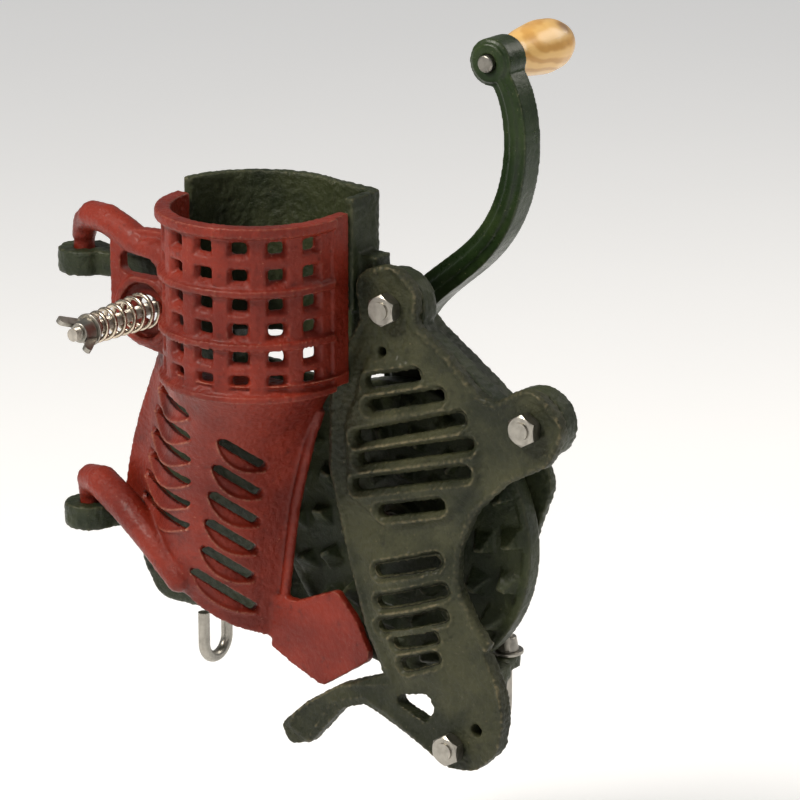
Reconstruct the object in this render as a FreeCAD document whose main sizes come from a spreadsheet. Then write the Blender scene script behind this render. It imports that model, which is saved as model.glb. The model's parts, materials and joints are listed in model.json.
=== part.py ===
import FreeCAD, Part
import math
import os

# Hand-cranked corn sheller that clamps to the edge of a bench or box.
# Every piece is drawn about the shaft axis: x to the right, y to the back, z up, with y = 0 on the
# toothed face of the disc. AT_SHAFT then lifts the whole machine so that the underside of its foot is z = 0.

Vector = FreeCAD.Vector
doc = FreeCAD.newDocument("corn_sheller")
sheet = doc.addObject("Spreadsheet::Sheet", "Sizes")

SIZES = {
    "shaft_height": 66, "foot_middle": 23.5,
    "disc_radius": 70, "disc_thick": 9, "rim_step": 1.2, "rim_band": 4, "hub_radius": 18, "hub_back": 3.5,
    "tooth_rise": 6, "tooth_base": 11,
    "shaft_radius": 7, "square_side": 9.6, "stud_radius": 4.75, "key_width": 4,
    "bush_radius": 9, "boss_radius": 17, "boss_back": 42, "plate_front": 14, "plate_thick": 5,
    "channel_front": 6,
    "crank_front": 45, "crank_depth": 14, "crank_width": 11, "crank_root": 17, "crank_hub": 17, "crank_boss": 11,
    "grip_x": 16.5, "grip_z": 212, "grip_radius": 12.8, "grip_start": 60.2, "grip_length": 45,
    "pin_radius": 4,
    "cover_front": -22, "cover_thick": 5, "bracket_depth": 8, "ear_radius": 17, "slot_width": 6,
    "bolt_radius": 4, "nut_flats": 13, "nut_height": 6.5, "head_height": 5.3,
    "throat_x": -57, "throat_y": -34, "throat_outer": 44.5, "throat_wall": 4.5, "throat_top": 158,
    "throat_foot": 82,
    "hinge_x": -168.5, "hinge_y": -20, "ring_outer": 12.4, "ring_hole": 5, "ring_height": 12,
    "ring_top_z": 107, "ring_low_z": -19,
    "grid_outer": 42.5, "grid_wall": 4.5, "grid_top": 152, "grid_foot": 73, "rib_rise": 2.2,
    "shell_wall": 4.5, "tongue_front": -16.5, "tongue_thick": 4.5,
    "rod_radius": 3, "rod_x": -117, "rod_z": 94.5, "rod_tip": -92, "spring_wire": 1,
    "spring_front": -80, "spring_back": -37.7, "spring_tip": 6, "spring_foot": 9.6,
    "foot_left": -135, "foot_right": 48, "foot_front": 13, "foot_depth": 21, "foot_thick": 7,
    "hook_radius": 2.8, "hook_left": -121, "hook_right": 42, "hook_y": 24, "hook_low": -96, "hook_bend": 9,
    "hook_top": -36,
    "ear_seat": -6.5,
}
for row, (alias, value) in enumerate(SIZES.items(), start=1):
    sheet.set(f"A{row}", alias)
    sheet.set(f"B{row}", str(value))
    sheet.setAlias(f"B{row}", alias)
doc.recompute()


def size(alias):
    return float(sheet.get(alias))


AT_SHAFT = FreeCAD.Placement(Vector(0, -size("foot_middle"), size("shaft_height")), FreeCAD.Rotation())
ALONG_Y = FreeCAD.Rotation(Vector(1, 0, 0), -90)
SUBPARTS = []


def finish(feature, label, spot=(0, 0, 0), turn=FreeCAD.Rotation()):
    """Names a finished sub-part and puts it at its spot on the machine."""
    feature.Label = label
    feature.Placement = AT_SHAFT * FreeCAD.Placement(Vector(*spot), turn)
    SUBPARTS.append(feature)
    return feature


# ---------------------------------------------------------------- outlines

def rounded(corners):
    """Closed outline through corners (x, z, radius), each corner rounded by its radius."""
    points = [Vector(x, z, 0) for x, z, _ in corners]
    count = len(points)
    ends = []
    edges = []
    for k in range(count):
        to_last = points[k - 1] - points[k]
        to_next = points[(k + 1) % count] - points[k]
        half = to_last.getAngle(to_next) / 2
        reach = min(corners[k][2] / math.tan(half), 0.48 * to_last.Length, 0.48 * to_next.Length)
        if reach < 0.05:
            ends.append((points[k], points[k]))
            continue
        start = points[k] + to_last.normalize() * reach
        end = points[k] + to_next.normalize() * reach
        radius = reach * math.tan(half)
        inward = (to_last + to_next).normalize()
        middle = points[k] + inward * (radius / math.sin(half) - radius)
        edges.append(Part.Arc(start, middle, end))
        ends.append((start, end))
    for k in range(count):
        start, end = ends[k][1], ends[(k + 1) % count][0]
        if start.distanceToPoint(end) > 1e-6:
            edges.append(Part.LineSegment(start, end))
    return edges


def slot(x1, z1, x2, z2, width):
    """Straight slot with round ends, from one end centre to the other."""
    start, end = Vector(x1, z1, 0), Vector(x2, z2, 0)
    along = (end - start).normalize() * (width / 2)
    side = Vector(-along.y, along.x, 0)
    return [
        Part.LineSegment(start + side, end + side),
        Part.Arc(end + side, end + along, end - side),
        Part.LineSegment(end - side, start - side),
        Part.Arc(start - side, start - along, start + side),
    ]


def circle(x, z, radius):
    return [Part.Circle(Vector(x, z, 0), Vector(0, 0, 1), radius)]


def ribbon(spine, start_half, end_half):
    """Closed outline of a smooth, evenly tapered bar that follows a spine of (x, z) points."""
    curve = Part.BSplineCurve()
    curve.interpolate([Vector(x, z, 0) for x, z in spine])
    steps = 14
    sides = []
    for sign in (1, -1):
        edge_points = []
        for k in range(steps + 1):
            u = curve.FirstParameter + (curve.LastParameter - curve.FirstParameter) * k / steps
            tangent = curve.tangent(u)[0]
            half = start_half + (end_half - start_half) * k / steps
            edge_points.append(curve.value(u) + Vector(-tangent.y, tangent.x, 0) * (sign * half))
        side = Part.BSplineCurve()
        side.interpolate(edge_points)
        sides.append(side)
    return [
        sides[0],
        Part.LineSegment(sides[0].EndPoint, sides[1].EndPoint),
        sides[1],
        Part.LineSegment(sides[1].StartPoint, sides[0].StartPoint),
    ]


# ---------------------------------------------------------------- features

def new_body(name):
    return doc.addObject("PartDesign::Body", name)


def origin_part(body, role):
    return next(item for item in body.Origin.OriginFeatures if item.Role == role)


def new_sketch(body, name, edges, role="XZ_Plane", offset="0"):
    sketch = body.newObject("Sketcher::SketchObject", name)
    sketch.AttachmentSupport = [(origin_part(body, role), "")]
    sketch.MapMode = "FlatFace"
    sketch.addGeometry(edges, False)
    sketch.setExpression("AttachmentOffset.Base.z", offset)
    return sketch


def pad(body, name, edges, back, thick):
    """Plate parallel to the disc whose back face is at y = back, growing toward the front."""
    feature = body.newObject("PartDesign::Pad", name)
    feature.Profile = new_sketch(body, name + "_sketch", edges, offset=f"-({back})")
    feature.setExpression("Length", thick)
    doc.recompute()
    return feature


def pocket(body, name, edges, front, depth):
    """Hole cut into a plate from y = front toward the back."""
    before = body.Shape.Volume
    feature = body.newObject("PartDesign::Pocket", name)
    feature.Profile = new_sketch(body, name + "_sketch", edges, offset=f"-({front})")
    feature.setExpression("Length", depth)
    doc.recompute()
    if body.Shape.Volume > before - 0.5:
        raise RuntimeError(f"{name} cuts nothing")
    return feature


def turned(body, name, profile):
    """Solid of revolution about the body's y axis, from (radius, y) corners with rounding."""
    feature = body.newObject("PartDesign::Revolution", name)
    feature.Profile = new_sketch(body, name + "_sketch", rounded(profile), role="XY_Plane")
    feature.ReferenceAxis = (origin_part(body, "Y_Axis"), [""])
    feature.Angle = 360
    doc.recompute()
    return feature


def cylinder(name, radius, length, x, y, z, turn=FreeCAD.Rotation()):
    feature = doc.addObject("Part::Cylinder", name)
    feature.setExpression("Radius", radius)
    feature.setExpression("Height", length)
    feature.Placement = FreeCAD.Placement(Vector(x, y, z), turn)
    return feature


def box(name, x, y, z, dx, dy, dz):
    feature = doc.addObject("Part::Box", name)
    feature.Length, feature.Width, feature.Height = dx, dy, dz
    feature.Placement = FreeCAD.Placement(Vector(x, y, z), FreeCAD.Rotation())
    return feature


def fuse(name, features):
    feature = doc.addObject("Part::MultiFuse", name)
    feature.Shapes = features
    feature.Refine = True
    return feature


def cut(name, base, tool):
    feature = doc.addObject("Part::Cut", name)
    feature.Base = base
    feature.Tool = tool
    feature.Refine = True
    return feature


def bar(name, start, end, width, height):
    """Square-edged cast bar between two points of one level."""
    start, end = Vector(*start), Vector(*end)
    feature = doc.addObject("Part::Box", name)
    feature.Length, feature.Width, feature.Height = start.distanceToPoint(end), width, height
    heading = math.degrees(math.atan2(end.y - start.y, end.x - start.x))
    turn = FreeCAD.Rotation(Vector(0, 0, 1), heading)
    corner = start + turn.multVec(Vector(0, -width / 2, -height / 2))
    feature.Placement = FreeCAD.Placement(corner, turn)
    return feature


# ---------------------------------------------------------------- rotor

TOOTH_RINGS = [(29, 10, 0), (45, 14, 9), (60, 18, 3)]


def make_disc():
    body = new_body("disc_body")
    pad(body, "disc_plate", circle(0, 0, size("disc_radius")), "Sizes.disc_thick", "Sizes.disc_thick")
    pocket(body, "disc_face", circle(0, 0, size("disc_radius") - size("rim_band")), "0", "Sizes.rim_step")
    pad(body, "disc_front_hub", circle(0, 0, 14), "2", "8")
    pad(body, "disc_hub", circle(0, 0, size("hub_radius")),
        "Sizes.disc_thick + Sizes.hub_back", "Sizes.hub_back + 1")
    for ring, (radius, count, start) in enumerate(TOOTH_RINGS):
        half = size("tooth_base") / 2
        angle = math.radians(start)
        radial = Vector(math.sin(angle), math.cos(angle), 0)
        across = Vector(radial.y, -radial.x, 0)
        sections = []
        for level, long_side, lead, wide in ((2, half, -half, half), (-size("tooth_rise"), 2.2, half - 2.5, half - 1)):
            corners = [
                radial * (radius - long_side) + across * lead,
                radial * (radius + long_side) + across * lead,
                radial * (radius + long_side) + across * wide,
                radial * (radius - long_side) + across * wide,
            ]
            sections.append(new_sketch(body, f"tooth_{ring}_{len(sections)}",
                                       rounded([(p.x, p.y, 0) for p in corners]), offset=str(-level)))
        loft = body.newObject("PartDesign::AdditiveLoft", f"tooth_{ring}")
        loft.Profile = sections[0]
        loft.Sections = [sections[1]]
        loft.Ruled = True
        doc.recompute()
        pattern = body.newObject("PartDesign::PolarPattern", f"tooth_ring_{ring}")
        pattern.Originals = [loft]
        pattern.Axis = (origin_part(body, "Y_Axis"), [""])
        pattern.Angle = 360
        pattern.Occurrences = count
        body.Tip = pattern
        doc.recompute()
    pocket(body, "disc_bore", circle(0, 0, size("shaft_radius")), "-10", "40")
    key = size("key_width")
    pocket(body, "disc_keyway", rounded([(-key / 2, 0, 0), (key / 2, 0, 0), (key / 2, 9, 0), (-key / 2, 9, 0)]),
           "-10", "40")
    finish(body, "shelling_disc")


def make_shaft():
    body = new_body("shaft_body")
    radius, stud = size("shaft_radius"), size("stud_radius")
    end = size("crank_front")
    turned(body, "shaft_turned", [(0, -9, 0), (10, -9, 1), (10, -6, 0), (radius, -6, 0), (radius, end, 0), (0, end, 0)])
    half = size("square_side") / 2
    pad(body, "shaft_square", rounded([(-half, -half, 0.6), (half, -half, 0.6), (half, half, 0.6), (-half, half, 0.6)]),
        "Sizes.crank_front + Sizes.crank_depth - 1", "Sizes.crank_depth")
    pad(body, "shaft_stud", circle(0, 0, stud), "Sizes.crank_front + Sizes.crank_depth + 14", "16")
    key = size("key_width")
    pocket(body, "shaft_keyway", rounded([(-key / 2, 4.5, 0), (key / 2, 4.5, 0), (key / 2, 9, 0), (-key / 2, 9, 0)]),
           "-6", "18.5")
    finish(body, "shaft")


def make_key():
    body = new_body("key_body")
    key = size("key_width")
    pad(body, "key_bar", rounded([(-key / 2, 4.5, 0.2), (key / 2, 4.5, 0.2), (key / 2, 9, 0.2), (-key / 2, 9, 0.2)]),
        "12.4", "18.3")
    finish(body, "disc_key")


def make_ring(label, outer, inner, front, back):
    """Flat washer or sleeve on the shaft axis."""
    body = new_body(label + "_body")
    turned(body, label + "_turned", [(inner, front, 0), (outer, front, 0.4), (outer, back, 0.4), (inner, back, 0)])
    return body


def make_shaft_rings():
    front = size("disc_thick") + size("hub_back")
    finish(make_ring("thrust_washer", 15, 7.05, front, size("plate_front")), "thrust_washer")
    finish(make_ring("shaft_bush", size("bush_radius"), 7.05, size("plate_front"), size("boss_back") + 0.4), "shaft_bush")
    finish(make_ring("crank_spacer", 11, 7.05, size("boss_back") + 0.5, size("crank_front") - 0.02), "crank_spacer")
    crank_back = size("crank_front") + size("crank_depth")
    finish(make_ring("crank_washer", 10.5, 5.1, crank_back, crank_back + 2), "crank_washer")


def hexagon(flats, turn=0):
    reach = flats / math.sqrt(3)
    corners = []
    for k in range(6):
        angle = math.radians(60 * k + 90 + turn)
        corners.append((reach * math.cos(angle), reach * math.sin(angle), 0))
    return rounded(corners)


def chamfered_hex(name, flats, front, height, bore):
    """Hexagon with turned-off corners between y = front and front + height, as Part objects."""
    body = new_body(name + "_hex")
    pad(body, name + "_pad", hexagon(flats), str(front + height), str(height))
    cone = new_body(name + "_cone")
    reach = flats / math.sqrt(3) + 0.1
    turned(cone, name + "_turned", [(0, front, 0), (flats / 2 - 0.2, front, 0), (reach, front + 1.1, 0),
                                    (reach, front + height - 1.1, 0), (flats / 2 - 0.2, front + height, 0),
                                    (0, front + height, 0)])
    common = doc.addObject("Part::MultiCommon", name + "_common")
    common.Shapes = [body, cone]
    if not bore:
        return common
    hole = cylinder(name + "_hole", str(bore), str(height + 4), 0, front - 2, 0, ALONG_Y)
    return cut(name + "_nut", common, hole)


CRANK_SPINE = [(-2, 2), (-22, 22), (-34, 50), (-33, 75), (-20, 97), (1, 115), (16.5, 131), (26.5, 151),
               (30, 178), (26, 198), (16.5, 212)]


def make_crank():
    body = new_body("crank_body")
    back = "Sizes.crank_front + Sizes.crank_depth"
    x, z = size("grip_x"), size("grip_z")
    narrow, wide = size("crank_width") / 2, size("crank_root") / 2
    pad(body, "crank_bar", ribbon(CRANK_SPINE, wide, narrow), back + " - 1", "Sizes.crank_depth - 1")
    pad(body, "crank_rib", ribbon(CRANK_SPINE, 2.6, 1.7), "Sizes.crank_front + 1", "2.4")
    pad(body, "crank_hub_disc", circle(0, 0, size("crank_hub")), back, "Sizes.crank_depth")
    pad(body, "crank_boss_disc", circle(x, z, size("crank_boss")), back, "Sizes.crank_depth")
    pad(body, "crank_boss_ring", circle(x, z, 9), "Sizes.crank_front + 1", "2.8")
    half = size("square_side") / 2 + 0.02
    square = rounded([(-half, -half, 0.5), (half, -half, 0.5), (half, half, 0.5), (-half, half, 0.5)])
    pocket(body, "crank_seat", circle(0, 0, 12), "Sizes.crank_front - 6", "6")
    pocket(body, "crank_square", square, "Sizes.crank_front - 4", "Sizes.crank_depth + 8")
    pocket(body, "crank_pin_hole", circle(x, z, size("pin_radius")), "Sizes.crank_front - 4", "Sizes.crank_depth + 8")
    finish(body, "crank_arm")


def make_grip():
    spot = (size("grip_x"), 0, size("grip_z"))
    start, length, widest = size("grip_start"), size("grip_length"), size("grip_radius")
    body = new_body("grip_body")
    turned(body, "grip_turned", [
        (4.05, start, 0), (9, start, 1.2), (9, start + 3, 10), (0.88 * widest, start + 0.3 * length, 30),
        (widest, start + 0.58 * length, 30), (0.93 * widest, start + 0.8 * length, 16),
        (0.68 * widest, start + 0.96 * length, 8), (5.5, start + length, 1), (4.05, start + length, 0)])
    finish(body, "wooden_grip", spot)
    pin = new_body("pin_body")
    radius, front = size("pin_radius"), size("crank_front")
    end = start + length
    turned(pin, "pin_turned", [
        (0, front - 4.4, 0), (3.6, front - 4.4, 0.8), (radius, front - 3.6, 0.4), (radius, end + 0.1, 0),
        (6, end + 0.1, 0.5), (6, end + 1.2, 0.6), (0, end + 2.2, 0)])
    finish(pin, "grip_pin", spot)


def make_crank_nut():
    front = size("crank_front") + size("crank_depth") + 2
    finish(chamfered_hex("crank_nut", 17, front, 8, size("stud_radius")), "crank_nut")


# ---------------------------------------------------------------- guard cover and its bolts

COVER_BOLTS = [(7.6, 111.2), (82.7, 68.6), (43, -91)]
COVER_OUTLINE = [
    (-12, 125, 12), (10, 132, 14), (24, 121, 14), (22, 106, 5), (40, 94, 30), (56, 79, 10), (65, 77, 6),
    (84, 89, 16), (103, 72, 16), (94, 53, 12), (71, 40, 10), (55, 24, 25), (46, 5, 22), (46, -12, 20),
    (55, -29, 12), (64, -39, 3), (52, -47, 4), (44, -52, 4), (40, -64, 6), (24, -71, 8), (8, -71, 10), (-6, -42, 40),
    (-15, -10, 30), (-26, 30, 40), (-25, 66, 30), (-15, 92, 20), (-8, 104, 8),
]
COVER_SLOTS = [
    (-2, 75, 22, 82), (-1, 64, 35, 75), (-8, 48, 46, 66), (-6, 38, 51, 55), (-9, 25, 50, 42), (5, 15, 36, 24),
    (4, -13, 34, -3), (5, -28, 38, -16), (5, -40, 38, -28), (14, -46, 34, -39), (18, -56, 34, -49),
]
BRACKET_OUTLINE = [
    (38, -46, 3), (59, -41, 6), (68, -58, 8), (70.5, -71, 10), (68, -88, 10), (56, -100, 12), (42, -102, 10),
    (29, -96, 6), (12, -88, 6), (-6, -81, 8), (-19, -86, 12), (-37, -107, 4), (-50, -111, 5), (-54, -101, 4),
    (-39, -87, 8), (-21, -75, 12), (8, -63, 5), (30, -60, 6),
]
BRACKET_OPENING = [(5, -74, 3), (30, -68, 4), (33, -76, 4), (28, -82.5, 3)]


def make_cover():
    body = new_body("cover_body")
    back = "Sizes.cover_front + Sizes.cover_thick"
    pad(body, "cover_plate", rounded(COVER_OUTLINE), back, "Sizes.cover_thick")
    pad(body, "cover_bracket", rounded(BRACKET_OUTLINE), "Sizes.cover_front + Sizes.bracket_depth",
        "Sizes.bracket_depth")
    slots = [edge for ends in COVER_SLOTS for edge in slot(*ends, size("slot_width"))]
    pocket(body, "cover_slots", slots, "Sizes.cover_front - 1", "Sizes.cover_thick + 2")
    holes = [edge for x, z in COVER_BOLTS for edge in circle(x, z, size("bolt_radius") + 0.05)]
    holes += circle(4, 90, 2.5) + circle(56, -80, 3) + rounded(BRACKET_OPENING)
    pocket(body, "cover_holes", holes, "Sizes.cover_front - 1", "Sizes.bracket_depth + 2")
    finish(body, "guard_cover")


def make_cover_bolts():
    bolts = []
    nuts = []
    for k, (x, z) in enumerate(COVER_BOLTS):
        front = size("cover_front") - size("nut_height") - 0.8
        shank = cylinder(f"bolt_shank_{k}", "Sizes.bolt_radius", f"Sizes.ear_seat + 1 - ({front})",
                         0, front, 0, ALONG_Y)
        head = chamfered_hex(f"bolt_head_{k}", size("nut_flats"), size("ear_seat"), size("head_height"), 0)
        bolt = fuse(f"bolt_{k}", [shank, head])
        bolt.Placement = FreeCAD.Placement(Vector(x, 0, z), FreeCAD.Rotation())
        bolts.append(bolt)
        nut = chamfered_hex(f"nut_{k}", size("nut_flats"), size("cover_front") - size("nut_height"),
                            size("nut_height"), size("bolt_radius"))
        nut.Placement = FreeCAD.Placement(Vector(x, 0, z), FreeCAD.Rotation())
        nuts.append(nut)
    for label, pieces in (("cover_bolts", bolts), ("cover_nuts", nuts)):
        group = doc.addObject("Part::Compound", label + "_group")
        group.Links = pieces
        finish(group, label)


# ---------------------------------------------------------------- housing

BACK_PLATE = [
    (-12, 60, 4), (-22, 84, 8), (2, 98, 8), (44, 66, 12), (64, 54, 10), (73, 30, 14), (61, -3, 20), (55, -25, 20),
    (52, -42, 8), (26, -44, 6), (26, -66, 2), (-79, -66, 2), (-79, 60, 8), (-40, 60, 12),
]
CHANNEL_PLATE = [
    (-131, 66, 6), (-145, 34, 20), (-157, 4, 20), (-159, -48, 20), (-148, -66, 12), (-73, -66, 2), (-73, 66, 6),
]
RIM_LIP = [(-9, 121, 6), (10, 127, 6), (18, 118, 4), (22, 104, 10), (44, 89, 10), (62, 76, 6), (84, 80, 10),
           (84, 60, 10), (62, 66, 6), (42, 80, 8), (20, 94, 8), (8, 106, 6), (-4, 108, 6)]
RIM_WALL = [(-15, 108, 3), (0, 106, 4), (14, 94, 6), (36, 79, 8), (56, 64, 6), (66, 58, 3), (62, 52, 3),
            (50, 58, 6), (32, 72, 8), (8, 88, 8), (-4, 98, 4), (-16, 101, 3)]
EAR_LUG = [(45, -60, 2), (57, -60, 2), (60, -80, 8), (57, -101, 10), (30, -99, 8), (30, -84, 8), (45, -76, 6)]
GUSSET = [(14, -59), (14, -66), (12.9, -66), (-2, -81), (-13.9, -81), (-13.9, -60)]


def make_base():
    """Back plate, channel plate, bearing and foot."""
    plates = new_body("housing_plates")
    pad(plates, "back_plate", rounded(BACK_PLATE), "Sizes.plate_front + Sizes.plate_thick", "Sizes.plate_thick")
    channel = new_body("housing_channel")
    pad(channel, "channel_plate", rounded(CHANNEL_PLATE), "Sizes.channel_front + Sizes.plate_thick", "Sizes.plate_thick")
    step = box("channel_step", -79, size("channel_front"), -size("shaft_height"), 6, 13, 130)
    bearing = cylinder("bearing", "Sizes.boss_radius", "Sizes.boss_back - Sizes.plate_front",
                       0, size("plate_front"), 0, ALONG_Y)
    pieces = [plates, channel, step, bearing]
    for k in range(4):
        rib = box(f"bearing_rib_{k}", 0, 0, 0, 39, 16, 6)
        turn = FreeCAD.Rotation(Vector(0, 1, 0), 90 * k)
        rib.Placement = FreeCAD.Placement(turn.multVec(Vector(12, size("plate_front"), -3)), turn)
        pieces.append(rib)
    left, right, front = size("foot_left"), size("foot_right"), size("foot_front")
    rear = front + size("foot_depth")
    foot = new_body("housing_foot")
    slab = foot.newObject("PartDesign::Pad", "foot_slab")
    corners = [(left, front - 7, 0), (-75, front - 7, 0), (-75, front, 0), (right, front, 0), (right, rear, 10),
               (left, rear, 10)]
    slab.Profile = new_sketch(foot, "foot_sketch", rounded(corners), role="XY_Plane", offset="-Sizes.shaft_height")
    slab.setExpression("Length", "Sizes.foot_thick")
    return pieces + [foot]


def make_rim():
    """Flared rim behind the upper edge of the cover, with the two upper ears."""
    rim = new_body("housing_rim")
    pad(rim, "rim_lip", rounded(RIM_LIP), "Sizes.ear_seat - 1", "Sizes.ear_seat - 1 + 16.9")
    pad(rim, "rim_wall", rounded(RIM_WALL), "Sizes.plate_front + 4", "Sizes.plate_front + 4 - Sizes.ear_seat + 2")
    ears = [cylinder(f"ear_{k}", "Sizes.ear_radius - 0.7", "Sizes.ear_seat + 16.9", x, -16.9, z, ALONG_Y)
            for k, (x, z) in enumerate(COVER_BOLTS[:2])]
    return [rim] + ears


def make_lug():
    """Lowest cover ear and the gusset that ties it to the foot."""
    lug = new_body("housing_lug")
    pad(lug, "ear_lug", rounded(EAR_LUG), "Sizes.ear_seat", "Sizes.ear_seat - Sizes.cover_front - Sizes.bracket_depth - 0.1")
    gusset = doc.addObject("Part::Extrusion", "lug_gusset")
    outline = doc.addObject("Part::Feature", "gusset_outline")
    corners = [Vector(46, y, z) for y, z in GUSSET]
    outline.Shape = Part.Face(Part.makePolygon(corners + corners[:1]))
    gusset.Base = outline
    gusset.Dir = Vector(6, 0, 0)
    return [lug, gusset]


def make_holes():
    """Everything bored through the castings."""
    tools = [
        cylinder("bush_hole", "Sizes.bush_radius", "80", 0, -5, 0, ALONG_Y),
        cylinder("upper_ring_hole", "Sizes.ring_hole", "40", size("hinge_x"), size("hinge_y"),
                 size("ring_top_z") - 20),
        cylinder("lower_ring_hole", "Sizes.ring_hole", "40", size("hinge_x"), size("hinge_y"),
                 size("ring_low_z") - 20),
        cylinder("spring_rod_hole", "Sizes.rod_radius", "60", size("rod_x"), -40, size("rod_z"), ALONG_Y),
        cylinder("throat_bore", "Sizes.throat_outer - Sizes.throat_wall", "Sizes.throat_top",
                 size("throat_x"), size("throat_y"), size("throat_foot") - 16),
    ]
    for k, (x, z) in enumerate(COVER_BOLTS):
        tools.append(cylinder(f"cover_bolt_hole_{k}", "Sizes.bolt_radius + 0.05", "80", x, -40, z, ALONG_Y))
        tools.append(cylinder(f"bolt_head_room_{k}", "8.6", "40", x, size("ear_seat"), z, ALONG_Y))
    for k, side in enumerate(("hook_left", "hook_right")):
        tools.append(cylinder(f"hook_hole_{k}", "Sizes.hook_radius + 0.1", "40", size(side), size("hook_y"),
                              -size("shaft_height") - 20))
    return fuse("casting_holes", tools)


def make_housing():
    """The cast housing, as simple castings that meet face to face."""
    taken = [make_holes()]
    upper_arm, lower_arm = make_arms()
    for label, pieces in (("main_housing", make_base()), ("throat_back", make_throat()), ("cover_rim", make_rim()),
                          ("cover_lug", make_lug()), ("upper_hinge_arm", upper_arm), ("lower_hinge_arm", lower_arm)):
        solid = fuse(label + "_solid", pieces)
        tool = fuse(label + "_taken", taken) if len(taken) > 1 else taken[0]
        finish(cut(label + "_cast", solid, tool), label)
        taken = taken + [solid]


THROAT_CORNER = [(-12.3, -21.4, 0), (-12.3, 2.4, 6), (-41, 7.6, 0), (-41, 3, 0), (-17, -1.8, 4), (-17, -21.4, 0)]


def make_throat():
    """Rear half of the feed throat, with the flange that carries the upper cover ear."""
    x, y = size("throat_x"), size("throat_y")
    tube = cylinder("throat_tube", "Sizes.throat_outer", "Sizes.throat_top - Sizes.throat_foot",
                    x, y, size("throat_foot"))
    front = box("throat_front", x - 80, y - 80, 0, 160, 84, 200)
    right = box("throat_right", x + 17, y - 60, 0, 80, 120, 200)
    rear = cut("throat_rear", tube, fuse("throat_split", [front, right]))
    corner = new_body("throat_corner")
    side = corner.newObject("PartDesign::Pad", "throat_corner_pad")
    side.Profile = new_sketch(corner, "throat_corner_sketch", rounded(THROAT_CORNER), role="XY_Plane",
                              offset="Sizes.throat_foot")
    side.setExpression("Length", "Sizes.throat_top - Sizes.throat_foot")
    corner = cut("throat_corner_cut", corner, box("throat_cover_gap", -30, -30, 80, 30, 13.1, 26))
    flange = box("throat_flange", -16.5, -16.9, 84, 14, 12, 48)
    strap = box("throat_strap", -104, -6, 58, 13, 18, 60)
    return [rear, corner, flange, strap]


def make_arms():
    """Arms and rings that the pressure plate hangs in, and the lug of the spring bolt."""
    x, y = size("hinge_x"), size("hinge_y")
    height = size("ring_height")
    rings = [cylinder(f"ring_{level}", "Sizes.ring_outer", "Sizes.ring_height", x, y, size(level) - height / 2)
             for level in ("ring_top_z", "ring_low_z")]
    top, low = size("ring_top_z"), size("ring_low_z")
    lug = cylinder("spring_lug", "9.5", "17", size("rod_x"), -23, size("rod_z"), ALONG_Y)
    upper = bar("upper_arm", (x + 8, y, top), (-92, -8, top), 11, height)
    lower = bar("lower_arm", (x + 6, y + 3, low), (-140, 14, low), 13, height)
    return [rings[0], upper, lug], [rings[1], lower]


# ---------------------------------------------------------------- pressure plate

SHELL_LEVELS = [
    (79, [(-123, -20), (-99, -47), (-69, -74), (-50, -76), (-22, -60), (-18, -12)]),
    (53, [(-131.5, -20), (-104, -42), (-80, -59), (-68, -61), (-46, -44), (-37, -12)]),
    (20, [(-142.5, -20), (-113, -37.5), (-84, -53.5), (-76, -52.5), (-59, -33), (-48.5, -12)]),
    (-12, [(-148, -20), (-119, -34.5), (-90, -48), (-82, -47), (-65, -29.5), (-54.7, -12)]),
    (-40, [(-148, -20), (-121, -31), (-94, -42), (-86, -41), (-69, -26.5), (-58.5, -12)]),
    (-66, [(-140, -20), (-116, -28), (-94, -37.5), (-86, -36.5), (-71, -24.5), (-60, -12)]),
]
SHELL_CUT = [(-170, -2, 0), (-144, -4, 8), (-93, -40, 30), (-74, -56, 10), (-54, -68, 6), (-40, -90, 0),
             (-170, -90, 0)]
TONGUE = [(-62, -40, 2), (-49, -41, 4), (-26, -31, 3), (-15, -43, 8), (-6, -61, 5), (-34, -80, 4), (-51, -73, 4),
          (-64, -66, 2)]
BRACKET_PLATE = [(-137, 92, 10), (-126, 78, 14), (-104, 74, 8), (-92, 72, 1), (-92, 132, 1), (-112, 133, 6),
                 (-137, 131, 6)]
GRID_ROWS = [141, 128.5, 115, 103.5, 91, 79.5]
GRID_COLUMNS = [-44, -20.5, 3, 26.5, 50, 73.5]
RIB_LEVELS = [121.8, 97.2, 73]
LEFT_LOUVRES = 6
RIGHT_LOUVRES = 6


def shell_section(level, path, wall):
    """Closed curved strip, one wall thick, at one level of the lower shell."""
    outer = Part.BSplineCurve()
    outer.interpolate([Vector(x, y, level) for x, y in path])
    inner = Part.BSplineCurve()
    points = []
    for k in range(9):
        u = outer.FirstParameter + (outer.LastParameter - outer.FirstParameter) * k / 8
        tangent = outer.tangent(u)[0]
        points.append(outer.value(u) + Vector(-tangent.y, tangent.x, 0) * wall)
    inner.interpolate(points)
    edges = [outer.toShape(), Part.makeLine(outer.EndPoint, inner.EndPoint), inner.toShape(),
             Part.makeLine(inner.StartPoint, outer.StartPoint)]
    return Part.Wire(Part.__sortEdges__(edges))


def radial_pocket(angle, level):
    """Tapered pocket with a through hole, at an angle measured from the front toward the right."""
    outer = size("grid_outer")
    rings = []
    for reach, wide, high, lift in ((outer + 1.6, 13.2, 10.4, 0), (outer - 3, 6.8, 5.2, 0.9), (outer - 9, 6.6, 5, 1)):
        corners = [Vector(x * wide / 2, -reach, lift + z * high / 2)
                   for x, z in ((-1, -1), (1, -1), (1, 1), (-1, 1), (-1, -1))]
        rings.append(Part.makePolygon(corners))
    shape = Part.makeLoft(rings, True, True)
    shape.rotate(Vector(0, 0, 0), Vector(0, 0, 1), angle)
    shape.translate(Vector(size("throat_x"), size("throat_y"), level))
    return shape


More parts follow.
